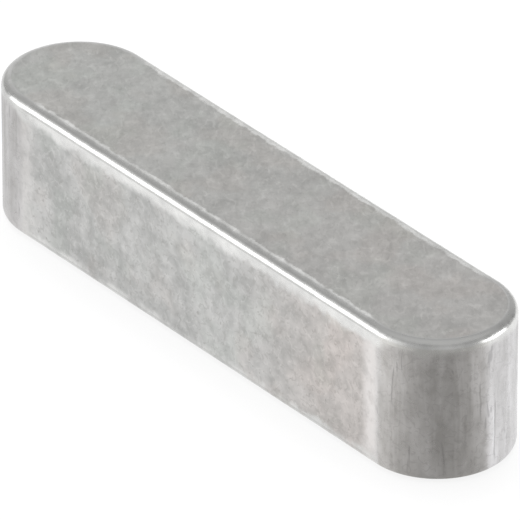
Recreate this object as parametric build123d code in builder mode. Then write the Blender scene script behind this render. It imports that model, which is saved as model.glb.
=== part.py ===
"""Parallel key, form A, of 6 x 6 mm section and 28 mm long.

A plain bar of square section whose two ends are full half-rounds seen from above. It was milled
round its outline, cut to height, and then barrel-tumbled, which turned every sharp edge round the
top and bottom faces into a small radius. It has no hole, no taper and no head: one solid.

Frame: millimetres. X runs along the key, Y across its width and Z is up its height. The origin is
the middle of the bottom face, the face that sits on the floor of the shaft's keyseat.
"""

from build123d import *

import os

# Driving sizes, in millimetres
KEY_LENGTH = 28.0  # end to end, over both round ends
KEY_WIDTH = 6.0  # from flank to flank, the size that fits the keyseat
KEY_HEIGHT = 6.0  # from the bottom face to the top face
EDGE_RADIUS = 0.385  # of the tumbled edge round the top and bottom faces


def make_key():
    """The key: a slot outline carried up to its height, with the edges of both faces rounded."""
    with BuildPart() as key:
        with BuildSketch():
            SlotOverall(KEY_LENGTH, KEY_WIDTH)
        extrude(amount=KEY_HEIGHT)
        face_edges = key.faces().filter_by(Axis.Z).edges()
        fillet(face_edges, radius=EDGE_RADIUS)
    key.part.label = "parallel_key"
    return key


os.makedirs("parts", exist_ok=True)

parallel_key = make_key()
export_step(parallel_key.part, "parts/parallel_key.step")
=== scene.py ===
"""A parallel key, form A: a square bar with two full-round ends, milled, then barrel-tumbled.

The key is one piece of stainless steel. Its top, underside and flanks came out of the tumbling barrel
satin and softly mottled, with small pits and peened flecks. The rounded edges, and the strip of face
beside them, were rubbed by the stones the longest and are the brightest. The round ends were cut by
the side of an end mill, and keep its marks as fine lines that stand upright.

Everything is in metres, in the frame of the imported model: X runs along the key, Y across it, Z up.
"""

import math
from types import SimpleNamespace

import bmesh
import bpy
import mathutils
import numpy as np
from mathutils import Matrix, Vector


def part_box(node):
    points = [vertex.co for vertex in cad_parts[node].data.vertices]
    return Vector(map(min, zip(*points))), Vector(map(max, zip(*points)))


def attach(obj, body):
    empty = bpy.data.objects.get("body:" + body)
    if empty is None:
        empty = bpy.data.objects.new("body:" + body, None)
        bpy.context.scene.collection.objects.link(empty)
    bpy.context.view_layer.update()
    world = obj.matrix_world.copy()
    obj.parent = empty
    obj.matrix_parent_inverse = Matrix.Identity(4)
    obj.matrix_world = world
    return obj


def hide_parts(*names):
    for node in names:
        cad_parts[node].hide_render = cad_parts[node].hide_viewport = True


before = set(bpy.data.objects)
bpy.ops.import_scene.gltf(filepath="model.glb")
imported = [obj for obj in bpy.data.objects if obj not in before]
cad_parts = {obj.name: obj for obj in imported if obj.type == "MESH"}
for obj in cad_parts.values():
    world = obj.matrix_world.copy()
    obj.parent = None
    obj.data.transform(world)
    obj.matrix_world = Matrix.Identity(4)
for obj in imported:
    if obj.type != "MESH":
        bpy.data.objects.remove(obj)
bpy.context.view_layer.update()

# ---- sizes of the key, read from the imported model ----

LOW, HIGH = (np.array(corner, dtype=float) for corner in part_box("parallel_key"))
LENGTH, WIDTH, HEIGHT = HIGH - LOW
END_RADIUS = WIDTH / 2
STRAIGHT_HALF = LENGTH / 2 - END_RADIUS  # from the middle to where a flank turns into a round end
EDGE_RADIUS = 0.385e-3  # of the tumbled edge round the top and the underside


# ---- the key's skin ----

def outline_round_the_key(end_steps=96, flank_steps=176):
    """Where the outline's arms start and which way they point, once round the key seen from above.

    The start C runs along the straight spine of the slot, x from -a to a, and the arm N is a unit
    vector square to the outline: N = (cos f, sin f) round an end and (0, +1) or (0, -1) on a flank.
    """
    turn = np.linspace(-np.pi / 2, np.pi / 2, end_steps, endpoint=False)
    walk = np.linspace(1.0, -1.0, flank_steps, endpoint=False)
    right = np.stack([np.full_like(turn, 1.0), np.cos(turn), np.sin(turn)], axis=1)
    back = np.stack([walk, np.zeros_like(walk), np.ones_like(walk)], axis=1)
    half = np.concatenate([right, back])
    both = np.concatenate([half, -half])
    return both[:, :1] * [STRAIGHT_HALF, 0.0], both[:, 1:]


def section_from_spine_to_spine(face_steps=22, edge_steps=14, side_steps=22):
    """Half of the key's cross-section: out along the top, round the edge, down, round and back in.

    It gives the reach rho along the arm, the height z and d, the distance along the metal to the
    nearest rounded edge. With r the edge radius, R the half width and t from 0 to 90 degrees:
    rho = R - r + r sin t and z = h - r + r cos t round the top edge, and the same upside down below.
    Rows crowd together towards the edges, on the faces by sqrt(s (2 - s)) and on the flanks by a cosine.
    """
    r, big = EDGE_RADIUS, END_RADIUS
    s = np.linspace(0.0, 1.0, face_steps, endpoint=False)
    face = 0.35 * np.sqrt(s * (2 - s)) + 0.65 * s
    t = np.linspace(0.0, np.pi / 2, edge_steps, endpoint=False)
    q = np.linspace(0.0, 1.0, side_steps, endpoint=False)
    side = 0.15 * (1 - np.cos(np.pi * q)) + 0.7 * q
    top_rho, top_z = face * (big - r), np.full_like(face, HEIGHT)
    arc_rho, arc_z = big - r + r * np.sin(t), HEIGHT - r + r * np.cos(t)
    flank_rho, flank_z = np.full_like(side, big), HEIGHT - r - side * (HEIGHT - 2 * r)
    rho = np.concatenate([top_rho, arc_rho, flank_rho, [big], arc_rho[:0:-1], [big - r], top_rho[::-1]])
    z = np.concatenate([top_z, arc_z, flank_z, [r], HEIGHT - arc_z[:0:-1], [0.0], HEIGHT - top_z[::-1]])
    to_edge = np.maximum(big - r - rho, np.minimum(z - r, HEIGHT - r - z))
    return rho, z, np.maximum(to_edge, 0.0)


def tumbled_waviness(points, depth=2.2e-6, sway=1.8, count=24):
    """How far the tumbling stones have worn the metal in, in metres, at each point.

    w(p) = depth (1 + sway times the mean of sin(k.p + c)) over a few plane waves k, 2 to 7 mm long,
    of mixed headings.
    """
    rng = np.random.default_rng(41)
    heading = rng.normal(size=(count, 3))
    heading /= np.linalg.norm(heading, axis=1, keepdims=True)
    waves = heading * (2 * np.pi / rng.uniform(2.0e-3, 7.0e-3, size=(count, 1)))
    phase = rng.uniform(0, 2 * np.pi, size=count)
    return depth * (1 + sway * np.sin(points @ waves.T + phase).mean(axis=1))


def key_skin(name):
    """The whole skin as one closed grid S(u, v) = C(u) + rho(v) N(u) + z(v) Z - w(S) n.

    u runs round the outline and v from the spine on top to the spine underneath. The wear w is taken
    along the outward normal n, which is (-dz/dv N, drho/dv) made one long, and only takes metal off.
    Two attributes go with the points: to_edge, the way to the nearest rounded edge in mm, and upright,
    0 on the flat faces and 1 on the flanks and round ends.
    """
    start, arm = outline_round_the_key()
    rho, z, to_edge = section_from_spine_to_spine()
    rows, columns = len(rho), len(arm)
    flat = start[None] + rho[:, None, None] * arm[None]
    points = np.concatenate([flat, np.broadcast_to(z[:, None, None], (rows, columns, 1))], axis=2)
    fall, reach = np.gradient(z), np.gradient(rho)
    long = np.maximum(np.hypot(fall, reach), 1e-12)
    outward = (-fall / long)[:, None, None] * arm[None]
    upward = np.broadcast_to((reach / long)[:, None, None], (rows, columns, 1))
    normal = np.concatenate([outward, upward], axis=2)
    worn = points - tumbled_waviness(points.reshape(-1, 3)).reshape(rows, columns, 1) * normal
    middle = np.array([*(LOW + HIGH)[:2] / 2, LOW[2]])
    co = (worn + middle).reshape(-1, 3)
    i, j = np.meshgrid(np.arange(rows - 1) * columns, np.arange(columns), indexing="ij")
    k = (j + 1) % columns
    quads = np.stack([i + j, i + columns + j, i + columns + k, i + k], axis=-1)
    mesh = bpy.data.meshes.new(name)
    mesh.from_pydata(co.tolist(), [], quads.reshape(-1, 4).tolist())
    upright = np.clip((rho - END_RADIUS + EDGE_RADIUS) / EDGE_RADIUS, 0.0, 1.0)
    for mark, value in (("to_edge", to_edge * 1000.0), ("upright", upright)):
        layer = mesh.attributes.new(mark, "FLOAT", "POINT")
        layer.data.foreach_set("value", np.repeat(value, columns))
    close_seams(mesh)
    return placed(name, mesh)


def close_seams(mesh):
    """Merge the points that meet on the two spines, drop faces shut by it and turn all of them out."""
    work = bmesh.new()
    work.from_mesh(mesh)
    bmesh.ops.remove_doubles(work, verts=work.verts, dist=4e-6)
    bmesh.ops.dissolve_degenerate(work, dist=1e-7, edges=work.edges)
    bmesh.ops.recalc_face_normals(work, faces=work.faces)
    for face in work.faces:
        face.smooth = True
    work.to_mesh(mesh)
    work.free()


def placed(name, data):
    """An object of this name for a mesh, lamp or camera, linked into the scene."""
    holder = bpy.data.objects.new(name, data)
    bpy.context.collection.objects.link(holder)
    return holder


# ---- a bench for nodes ----

class NodeBench:
    """The node tree of a material or of the room, with short words for the steps that repeat."""

    def __init__(self, owner):
        owner.use_nodes = True
        self.nodes, self.links = owner.node_tree.nodes, owner.node_tree.links
        self.nodes.clear()

    def add(self, kind, **settings):
        node = self.nodes.new(kind)
        for key, value in settings.items():
            setattr(node, key, value)
        return node

    def feed(self, socket, value):
        """Give a socket its value: a link from another node's output, or a plain number or colour."""
        if isinstance(value, bpy.types.NodeSocket):
            self.links.new(value, socket)
        else:
            socket.default_value = value

    def math_of(self, operation, *values):
        node = self.add("ShaderNodeMath", operation=operation)
        for socket, value in zip(node.inputs, values):
            self.feed(socket, value)
        return node.outputs["Value"]

    def chain(self, operation, first, *others):
        for other in others:
            first = self.math_of(operation, first, other)
        return first

    def plus(self, *parts):
        return self.chain("ADD", *parts)

    def times(self, *parts):
        return self.chain("MULTIPLY", *parts)

    def larger(self, *parts):
        return self.chain("MAXIMUM", *parts)

    def spread(self, value, low, high, to_low=0.0, to_high=1.0, kind="SMOOTHSTEP"):
        """Carry low..high over to to_low..to_high, eased at both ends, and hold it outside them."""
        step = self.add("ShaderNodeMapRange", interpolation_type=kind)
        for socket, given in zip(("From Min", "From Max", "To Min", "To Max"), (low, high, to_low, to_high)):
            self.feed(step.inputs[socket], given)
        self.feed(step.inputs["Value"], value)
        return step.outputs["Result"]

    def ramp(self, value, low, high, to_low=0.0, to_high=1.0):
        """The same as spread, but in a straight line."""
        return self.spread(value, low, high, to_low, to_high, "LINEAR")

    def blend(self, factor, a, b):
        """Colour a where the factor is 0 and colour b where it is 1."""
        node = self.add("ShaderNodeMix", data_type="RGBA")
        for socket, value in zip((node.inputs[0], node.inputs[6], node.inputs[7]), (factor, a, b)):
            self.feed(socket, value)
        return node.outputs[2]

    def blend_number(self, factor, a, b):
        node = self.add("ShaderNodeMix", data_type="FLOAT")
        for socket, value in zip((node.inputs[0], node.inputs[2], node.inputs[3]), (factor, a, b)):
            self.feed(socket, value)
        return node.outputs[0]

    def tinted(self, metal, factor, a, b=None):
        """The metal's colour times a tint that goes from a to b with the factor."""
        tint = self.blend(factor, a, b) if b else self.blend(factor, UNTINTED, a)
        return self.shaded(metal, tint)

    def shaded(self, metal, tint):
        node = self.add("ShaderNodeMix", data_type="RGBA", blend_type="MULTIPLY")
        for socket, value in zip((node.inputs[0], node.inputs[6], node.inputs[7]), (1.0, metal, tint)):
            self.feed(socket, value)
        return node.outputs[2]

    def noise(self, source, scale, detail, roughness, stretch=(1, 1, 1), start=0.0, warp=0.0):
        """A cloud of wear: scale is in lumps per millimetre, stretch squeezes it along each axis."""
        turn = self.add("ShaderNodeMapping")
        turn.inputs["Location"].default_value = [start, start * 0.7, start * 1.3]
        turn.inputs["Scale"].default_value = [1000 * scale * part for part in stretch]
        self.feed(turn.inputs["Vector"], source)
        cloud = self.add("ShaderNodeTexNoise")
        given = {"Scale": 1.0, "Detail": detail, "Roughness": roughness, "Distortion": warp}
        for socket, value in (given | {"Vector": turn.outputs["Vector"]}).items():
            self.feed(cloud.inputs[socket], value)
        return cloud.outputs["Fac"]

    def marks(self, source, scale, width, share, start):
        """Short bent scratches: thin lines where a cloud crosses its middle, kept in scattered places."""
        cloud = self.noise(source, scale, 1.0, 0.4, start=start)
        line = self.math_of("ABSOLUTE", self.math_of("SUBTRACT", cloud, 0.5))
        here = self.noise(source, scale * 2.1, 0.0, 0.5, start=start + 31.0)
        return self.times(self.spread(line, width, width * 0.3), self.spread(here, share, share + 0.06))


# ---- the steel ----

UNTINTED = (1, 1, 1, 1)

# The jagged lines that the cutter left on the near end: y, foot, head and half width in mm, share, shade.
CUTTER_LINES = (
    (-0.34, 2.5, 4.1, 0.060, 0.45, (0.30, 0.295, 0.29, 1)),
    (0.36, 0.5, 3.1, 0.065, 0.50, (0.33, 0.325, 0.32, 1)),
    (0.27, 0.9, 2.6, 0.060, 0.40, (0.90, 0.90, 0.90, 1)),
    (-0.66, 3.8, 5.2, 0.060, 0.45, (0.80, 0.80, 0.80, 1)),
    (-0.95, 1.2, 3.0, 0.065, 0.30, (0.38, 0.375, 0.37, 1)),
)


def barrel_wear(bench, place):
    """The fields of wear that every face shares, each from 0 to 1.

    Clouds are broad, flecks are the small peened spots, drawn are the top's flecks, stretched out slantwise,
    pits are pin pricks, pale and dark are bent scratches, and lines and deep are the cutter's upright marks.
    """
    combed = bench.add("ShaderNodeMapping", vector_type="TEXTURE")
    combed.inputs["Rotation"].default_value[2] = math.radians(-38)
    combed.inputs["Scale"].default_value[0] = 1.9
    bench.feed(combed.inputs["Vector"], place)
    combed = combed.outputs["Vector"]
    return SimpleNamespace(
        clouds=bench.noise(place, 0.42, 3.0, 0.55),
        flecks=bench.noise(place, 1.7, 3.2, 0.62),
        drawn=bench.noise(combed, 2.3, 5.0, 0.70),
        pits=bench.noise(place, 5.0, 1.0, 0.5, start=11.0),
        pale=bench.larger(
            bench.marks(place, 1.5, 0.036, 0.50, 5.0),
            bench.marks(place, 2.3, 0.036, 0.52, 57.0),
        ),
        dark=bench.larger(
            bench.marks(place, 1.9, 0.034, 0.50, 83.0),
            bench.marks(place, 2.6, 0.040, 0.52, 19.0),
        ),
        pale_top=bench.marks(combed, 2.3, 0.075, 0.50, 43.0),
        dark_top=bench.marks(combed, 2.9, 0.040, 0.54, 71.0),
        lines=bench.noise(place, 1.9, 3.0, 0.55, (1, 1, 0.13), warp=0.9),
        deep=bench.noise(place, 2.6, 2.0, 0.5, (1, 1, 0.16), start=7.0, warp=1.1),
    )


def places_on_the_key(bench, place, wear):
    """Where on the key a point is: each field is 1 at its own place.

    from_bend is the way past the line where a flank turns into a round end, in mm; the cutter ran a
    little further on to the flanks at the far end, X < 0. wall is 1 on flanks and round ends, milled on
    the round ends, beside_bend on the bright strip along the four bends, and rubbed on the rounded
    edges with the ragged strips beside them.
    """
    split = bench.add("ShaderNodeSeparateXYZ")
    bench.feed(split.inputs["Vector"], place)
    x, y, z = (split.outputs[axis] for axis in "XYZ")
    to_edge = bench.add("ShaderNodeAttribute", attribute_name="to_edge").outputs["Fac"]
    upright = bench.add("ShaderNodeAttribute", attribute_name="upright").outputs["Fac"]

    past = bench.math_of("SUBTRACT", bench.math_of("ABSOLUTE", x), float(STRAIGHT_HALF))
    from_bend = bench.plus(bench.times(past, 1000.0), bench.spread(x, -0.005, 0.005, 0.45, 0.12))
    wall = bench.spread(upright, 0.4, 0.9)
    milled = bench.times(bench.spread(from_bend, -0.1, 0.35), wall)
    strip = bench.times(bench.spread(from_bend, -0.85, -0.15), bench.spread(from_bend, 0.40, 0.02), wall)
    strength = bench.spread(x, -0.005, 0.005, 0.50, 0.85)
    beside_bend = bench.times(strip, strength, bench.spread(wear.flecks, 0.40, 0.55, 0.65, 1.0))

    patchy = bench.noise(place, 0.9, 3.0, 0.6, start=37.0)
    ragged = bench.plus(
        to_edge, bench.ramp(wear.flecks, 0.3, 0.7, -0.12, 0.12), bench.ramp(patchy, 0.35, 0.65, -0.16, 0.16)
    )
    # Painted shade: the pale rubbed strip on the flanks is made narrower low down, where the metal mirrors
    # the key's shadow on the table.
    painted_shade_low = bench.spread(z, float(HEIGHT) * 0.55, float(HEIGHT) * 0.35, 0.0, 0.32)
    narrower = bench.plus(painted_shade_low, bench.spread(from_bend, 0.0, 0.6, 0.0, 0.20))
    top_edge = bench.times(bench.spread(to_edge, 0.05, 0.0), bench.spread(z, 0.0025, 0.0035))
    strip_side = bench.larger(bench.spread(bench.plus(ragged, narrower), 0.54, 0.12), top_edge)
    frayed = bench.plus(to_edge, bench.ramp(wear.flecks, 0.35, 0.65, -0.05, 0.09))
    kept = bench.larger(bench.spread(to_edge, 0.02, 0.0), bench.spread(from_bend, -0.8, 0.2, 1.0, 0.1))
    strip_top = bench.times(bench.spread(frayed, 0.17, 0.06), kept)
    rubbed = bench.blend_number(upright, strip_top, strip_side)
    return SimpleNamespace(
        x=x, y=y, z=z, upright=upright, from_bend=from_bend, wall=wall, milled=milled,
        beside_bend=beside_bend, rubbed=rubbed,
    )


def satin_colour(bench, place, wear, where, tone):
    """The dull metal of the top, the underside and the flanks, with faint green and rosy patches."""
    tone_top = bench.plus(bench.times(wear.clouds, 0.45), bench.times(wear.drawn, 0.55))
    top = bench.blend(bench.ramp(tone_top, 0.38, 0.62), (0.566, 0.568, 0.554, 1), (0.733, 0.733, 0.716, 1))
    top = bench.blend(bench.times(wear.pale_top, 0.30), top, (0.82, 0.82, 0.80, 1))
    top = bench.blend(bench.times(wear.dark_top, 0.20), top, (0.44, 0.44, 0.42, 1))
    nearer = bench.spread(where.x, -0.0100, 0.0110)
    top = bench.tinted(top, nearer, (1.000, 1.002, 0.999, 1), (1.005, 0.988, 0.986, 1))

    side = bench.blend(bench.ramp(tone, 0.39, 0.61), (0.421, 0.422, 0.413, 1), (0.592, 0.589, 0.580, 1))
    side = bench.blend(bench.times(wear.pale, 0.18), side, (0.70, 0.695, 0.68, 1))
    side = bench.blend(bench.times(wear.dark, 0.30), side, (0.32, 0.315, 0.30, 1))
    side = bench.blend(bench.spread(wear.pits, 0.31, 0.25, 0.0, 0.4), side, (0.33, 0.325, 0.31, 1))
    warm = bench.spread(where.x, 0.0015, 0.0100)
    side = bench.tinted(side, warm, (0.998, 1.0, 1.002, 1), (1.030, 0.978, 0.962, 1))

    satin = bench.blend(where.wall, top, side)
    for start, patch in ((23.0, (0.990, 1.005, 0.995, 1)), (52.0, (1.012, 0.995, 0.988, 1))):
        here = bench.spread(bench.noise(place, 0.42, 2.0, 0.5, start=start), 0.50, 0.62)
        satin = bench.tinted(satin, here, patch)
    return satin


def cutter_line(bench, place, where, y, foot, head, width):
    """One jagged line on the near end, at a height from foot to head, in mm."""
    cloud = bench.noise(place, 1.0, 3.0, 0.65, (0, 0, 1), start=y * 40.0)
    bent = bench.plus(where.y, bench.ramp(cloud, 0.2, 0.8, -0.00006, 0.00006))
    off = bench.math_of("ABSOLUTE", bench.math_of("SUBTRACT", bent, y / 1000.0))
    line = bench.spread(off, width / 1000.0, width / 4000.0)
    above = bench.spread(where.z, (foot - 0.2) / 1000.0, (foot + 0.3) / 1000.0)
    below = bench.spread(where.z, (head + 0.2) / 1000.0, (head - 0.3) / 1000.0)
    return bench.times(line, above, below, bench.spread(where.x, 0.0, 0.001))


def cut_colour(bench, place, wear, where):
    """The milled metal of the round ends: upright lines, soft blotches and a few single jagged lines."""
    blotch = bench.noise(place, 1.0, 3.0, 0.55, (1, 1, 0.45), start=61.0, warp=0.3)
    tone = bench.plus(bench.times(wear.lines, 0.42), bench.times(wear.flecks, 0.25))
    tone = bench.plus(tone, bench.times(blotch, 0.33))
    cut = bench.blend(bench.ramp(tone, 0.40, 0.60), (0.515, 0.508, 0.498, 1), (0.715, 0.708, 0.705, 1))
    cut = bench.blend(bench.times(bench.spread(wear.deep, 0.36, 0.30), 0.55), cut, (0.36, 0.355, 0.355, 1))
    cut = bench.blend(bench.times(wear.dark, 0.25), cut, (0.36, 0.355, 0.35, 1))
    for y, foot, head, width, share, shade in CUTTER_LINES:
        line = cutter_line(bench, place, where, y, foot, head, width)
        cut = bench.blend(bench.times(line, share), cut, shade)
    bluer = bench.spread(where.y, -0.0010, 0.0006)
    cut = bench.tinted(cut, bluer, (1.002, 0.995, 0.998, 1), (1.004, 1.002, 1.018, 1))
    return bench.shaded(cut, bench.spread(where.x, -0.005, 0.005, 0.965, 1.0))


def polish_colour(bench, wear, where, tone):
    """The bright metal of the rubbed edges, with a thin dark line painted where the edge meets the flank,
    and painted shade along the bottom edge.
    """
    side = bench.blend(bench.ramp(tone, 0.38, 0.62), (0.66, 0.66, 0.65, 1), (0.82, 0.82, 0.805, 1))
    top = bench.blend(bench.ramp(wear.drawn, 0.40, 0.60), (0.72, 0.72, 0.705, 1), (0.90, 0.90, 0.885, 1))
    top = bench.blend(bench.spread(where.from_bend, -0.8, 0.2), top, (0.67, 0.67, 0.66, 1))
    side = bench.blend(where.wall, (0.74, 0.74, 0.725, 1), side)
    polish = bench.blend(bench.spread(where.upright, 0.15, 0.5), top, side)
    # A painted dark line: painted shade for a dark band that the metal mirrors where the edge meets the
    # flank. It fades out on the round ends.
    painted_dark_line = bench.times(bench.spread(where.upright, 0.925, 0.965), bench.spread(where.upright, 0.999, 0.985))
    painted_dark_line = bench.times(painted_dark_line, bench.spread(where.from_bend, 0.4, -0.3))
    polish = bench.blend(bench.times(painted_dark_line, 0.8), polish, (0.52, 0.52, 0.51, 1))
    # Painted shade: the polish is darker within half a millimetre of the table, where the metal mirrors the
    # key's shadow on it.
    return bench.blend(bench.spread(where.z, 0.0005, 0.0002, 0.0, 0.6), polish, (0.62, 0.62, 0.61, 1))


def tumbled_steel():
    """Stainless steel from the tumbling barrel: satin mottled faces, bright rubbed edges, milled ends."""
    steel = bpy.data.materials.new("tumbled_steel")
    bench = NodeBench(steel)
    place = bench.add("ShaderNodeTexCoord").outputs["Object"]
    wear = barrel_wear(bench, place)
    where = places_on_the_key(bench, place, wear)
    tone = bench.plus(bench.times(wear.clouds, 0.48), bench.times(wear.flecks, 0.52))

    satin = satin_colour(bench, place, wear, where, tone)
    faces = bench.blend(where.milled, satin, cut_colour(bench, place, wear, where))
    faces = bench.blend(where.beside_bend, faces, (0.785, 0.762, 0.752, 1))
    colour = bench.blend(where.rubbed, faces, polish_colour(bench, wear, where, tone))

    rough = bench.spread(wear.flecks, 0.3, 0.7, 0.37, 0.49)
    rough = bench.plus(rough, bench.spread(wear.clouds, 0.3, 0.7, -0.03, 0.03))
    rough = bench.math_of("SUBTRACT", rough, bench.times(wear.pale, 0.08))
    softer_on_ends = bench.spread(where.from_bend, -0.6, 0.2, 0.60, 0.82)
    rough = bench.times(rough, bench.blend_number(where.rubbed, 1.0, softer_on_ends))
    rough = bench.times(rough, bench.spread(where.milled, 0.0, 1.0, 1.0, 0.80))

    grain = bench.plus(bench.times(wear.flecks, 0.8), bench.times(bench.spread(wear.pits, 0.24, 0.36), 0.3))
    swells = bench.times(bench.noise(place, 0.9, 1.0, 0.4, start=3.0), 5.0)
    relief = bench.plus(grain, bench.times(wear.lines, where.milled, 0.7), swells)
    bump = bench.add("ShaderNodeBump")
    shader = bench.add("ShaderNodeBsdfPrincipled")
    out = bench.add("ShaderNodeOutputMaterial")
    for node, socket, value in (
        (bump, "Strength", 0.28),
        (bump, "Distance", 2.0e-5),
        (bump, "Height", relief),
        (shader, "Metallic", 1.0),
        (shader, "Base Color", colour),
        (shader, "Roughness", rough),
        (shader, "Normal", bump.outputs["Normal"]),
        (out, "Surface", shader.outputs["BSDF"]),
    ):
        bench.feed(node.inputs[socket], value)
    return steel


# ---- the studio ----

def direction(azimuth, elevation):
    """The unit vector that leans elevation up from the floor, azimuth degrees round from +X."""
    a, e = math.radians(azimuth), math.radians(elevation)
    return np.array([math.cos(e) * math.cos(a), math.cos(e) * math.sin(a), math.sin(e)])


def sides_of(back):
    """The level unit vector to the right of something whose back points along back, and its up."""
    right = np.cross([0.0, 0.0, 1.0], back)
    right /= np.linalg.norm(right)
    return right, np.cross(back, right)


def aim(holder, place, back):
    """Stand a lamp or camera at place with its back towards back, level from side to side."""
    matrix = np.eye(4)
    matrix[:3, 0], matrix[:3, 1] = sides_of(back)
    matrix[:3, 2], matrix[:3, 3] = back, place
    holder.matrix_world = mathutils.Matrix(matrix.tolist())


def table_top(half=1.5, glow=0.85):
    """A wide pale table, white to the eye and to the metal, that still takes the key's soft shadow."""
    mesh = bpy.data.meshes.new("table_top")
    corners = [(-half, -half, 0), (half, -half, 0), (half, half, 0), (-half, half, 0)]
    mesh.from_pydata(corners, [], [(0, 1, 2, 3)])
    table = placed("table_top", mesh)
    table.location.z = -2e-6  # just under the key's foot
    paper = bpy.data.materials.new("white_table")
    bench = NodeBench(paper)
    matt = bench.add("ShaderNodeBsdfDiffuse")
    matt.inputs["Color"].default_value = (0.9, 0.9, 0.9, 1)
    white = bench.add("ShaderNodeEmission")
    white.inputs["Color"].default_value = (1, 1, 1, 1)
    white.inputs["Strength"].default_value = 1.0
    ray = bench.add("ShaderNodeLightPath").outputs
    seen = bench.larger(ray["Is Camera Ray"], ray["Is Glossy Ray"], ray["Is Transmission Ray"])
    mix = bench.add("ShaderNodeMixShader")
    for socket, value in zip(mix.inputs, (bench.times(seen, glow), matt.outputs[0], white.outputs[0])):
        bench.feed(socket, value)
    bench.feed(bench.add("ShaderNodeOutputMaterial").inputs["Surface"], mix.outputs[0])
    mesh.materials.append(paper)
    return table


def softbox(name, azimuth, elevation, distance, width, height, power):
    """An area lamp that faces the key from the given side."""
    lamp = bpy.data.lights.new(name, "AREA")
    lamp.shape = "RECTANGLE"
    lamp.size, lamp.size_y, lamp.energy = width, height, power
    holder = placed(name, lamp)
    back = direction(azimuth, elevation)
    aim(holder, back * distance + [0, 0, HEIGHT / 2], back)
    return holder


def studio_air(wall=0.86, end_wall=0.50, ceiling=0.42, overhead=0.56):
    """The room's own light: pale walls up to about 27 degrees, and a darker ceiling from 44 degrees up.

    The walls have the strength wall, and only end_wall in the half of the room that the near round end
    points to. Nearly overhead the ceiling is a little lighter. Two parts of the walls are dimmer: one
    beyond the far flank, by 40 percent, and one beyond the far round end, by half. Each patch follows
    the cosine of the angle to its own heading, with a smooth step between two cosines.
    """
    room = bpy.data.worlds.new("studio_air")
    bpy.context.scene.world = room
    bench = NodeBench(room)
    heading = bench.add("ShaderNodeTexCoord").outputs["Generated"]

    def patch(azimuth, elevation, edge, heart, outside, inside):
        cosine = bench.add("ShaderNodeVectorMath", operation="DOT_PRODUCT")
        cosine.inputs[1].default_value = direction(azimuth, elevation).tolist()
        bench.feed(cosine.inputs[0], heading)
        return bench.spread(cosine.outputs["Value"], edge, heart, outside, inside)

    split = bench.add("ShaderNodeSeparateXYZ")
    bench.feed(split.inputs["Vector"], heading)
    walls = patch(10, 0, -0.25, 0.05, wall, end_wall)
    roof = patch(143, 85, 0.77, 0.87, ceiling, overhead)
    level = bench.spread(split.outputs["Z"], 0.46, 0.70, walls, roof)
    beyond_flank = patch(106, 16, 0.80, 0.96, 1.0, 0.60)
    beyond_end = patch(188, 12, 0.84, 0.96, 1.0, 0.50)
    glow = bench.add("ShaderNodeBackground")
    glow.inputs["Color"].default_value = (1, 1, 1, 1)
    bench.feed(glow.inputs["Strength"], bench.times(level, bench.times(beyond_flank, beyond_end)))
    bench.feed(bench.add("ShaderNodeOutputWorld").inputs["Surface"], glow.outputs[0])


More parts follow.
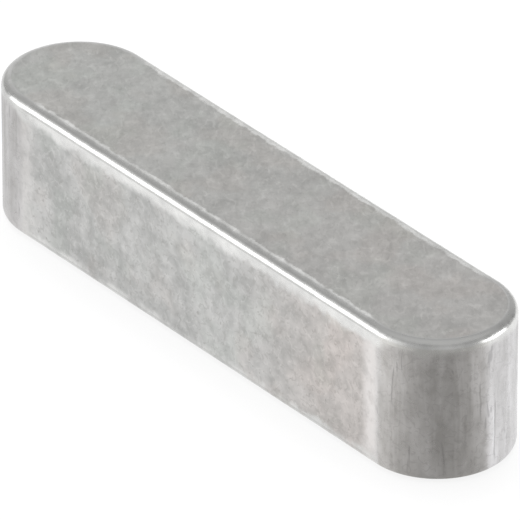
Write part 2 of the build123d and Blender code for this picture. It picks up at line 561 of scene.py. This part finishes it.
def painted_shade_card(name, end, foot, head, darkest, level, rise, tint=UNTINTED, height=5.75e-3):
    """A low card bent round before a round end of the key, for the metal alone to see: it glows grey and
    paints shade into the metal's reflection of the table in front of the end.

    It is part of a cone about the end's axis: (end a + q cos f, q sin f, z), with z from the table up,
    and q the end's radius plus a gap that grows with z; a skirt of it lies on the table, in under the
    key's rounded edge. The angle f runs from foot[0] to foot[1] degrees at the table and from head[0] to
    head[1] at the top. The card is graded: its level grows with the square of the angle from the darkest
    heading, by rise for 56 degrees.
    """
    f = np.radians([np.linspace(*foot, 64), np.linspace(*foot, 64), np.linspace(*head, 64)])
    q = END_RADIUS + np.array([[-0.34e-3], [0.25e-3], [1.6e-3]])
    z = np.broadcast_to(np.array([[1e-5], [1e-5], [height]]), f.shape)
    points = np.stack([end * STRAIGHT_HALF + q * np.cos(f), q * np.sin(f), z], axis=2).reshape(-1, 3)
    n = f.shape[1]
    i, j = np.meshgrid(np.arange(n - 1), np.arange(2) * n, indexing="ij")
    i = (i + j).ravel()
    mesh = bpy.data.meshes.new(name)
    mesh.from_pydata(points.tolist(), [], np.stack([i, i + 1, i + 1 + n, i + n], axis=1).tolist())
    shade_level = mesh.attributes.new("shade_level", "FLOAT", "POINT")
    shade_level.data.foreach_set("value", (level + rise * ((np.degrees(f) - darkest) / 56.0) ** 2).ravel())
    card = bpy.data.materials.new("painted_shade_glow")
    bench = NodeBench(card)
    glow = bench.add("ShaderNodeEmission")
    glow.inputs["Color"].default_value = tint
    read = bench.add("ShaderNodeAttribute", attribute_name="shade_level")
    bench.feed(glow.inputs["Strength"], read.outputs["Fac"])
    bench.feed(bench.add("ShaderNodeOutputMaterial").inputs["Surface"], glow.outputs[0])
    mesh.materials.append(card)
    glowing_card = placed(name, mesh)
    glowing_card.visible_camera = glowing_card.visible_diffuse = glowing_card.visible_shadow = False
    glowing_card.visible_transmission = glowing_card.visible_volume_scatter = False
    return glowing_card


def long_lens(azimuth=-38.085, elevation=30.112, distance=0.4122, to_right=0.187e-3, down=0.163e-3):
    """A camera far off with a long lens, looking down at the round end and along the near flank."""
    view = bpy.data.cameras.new("long_lens")
    view.sensor_fit = "HORIZONTAL"
    view.sensor_width = 36.0
    view.lens = 752.3
    view.clip_start, view.clip_end = 0.02, 20.0
    camera = placed("long_lens", view)
    bpy.context.scene.camera = camera
    back = direction(azimuth, elevation)
    right, up = sides_of(back)
    aim_at = np.array([0.0, 0.0, HEIGHT / 2]) + to_right * right - down * up
    aim(camera, aim_at + distance * back, back)
    return camera


# ---- put together ----

key = key_skin("key_skin")
key.data.materials.append(tumbled_steel())
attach(key, "root")
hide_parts("parallel_key")

table_top()
studio_air()
# Painted shade in the metal's reflections: glowing cards that darken the table that the round ends mirror.
painted_shade_card("near_shade_card", 1, (-90, 4), (-100, 12), -34, 0.41, 0.44, (1.0, 0.986, 0.962, 1))
painted_shade_card("far_shade_card", -1, (-205, -94), (-205, -98), -130, 0.86, 0.0)
softbox("left_softbox", -133, 12, 0.30, 0.22, 0.115, 0.138)
softbox("right_softbox", 45, 9, 0.30, 0.22, 0.14, 0.20)
overhead = softbox("overhead_softbox", 150, 75, 0.45, 0.4, 0.4, 2.6)
overhead.visible_glossy = False  # it lights the table, and the metal doesn't mirror it
long_lens()

bpy.context.scene.view_settings.view_transform = "Standard"
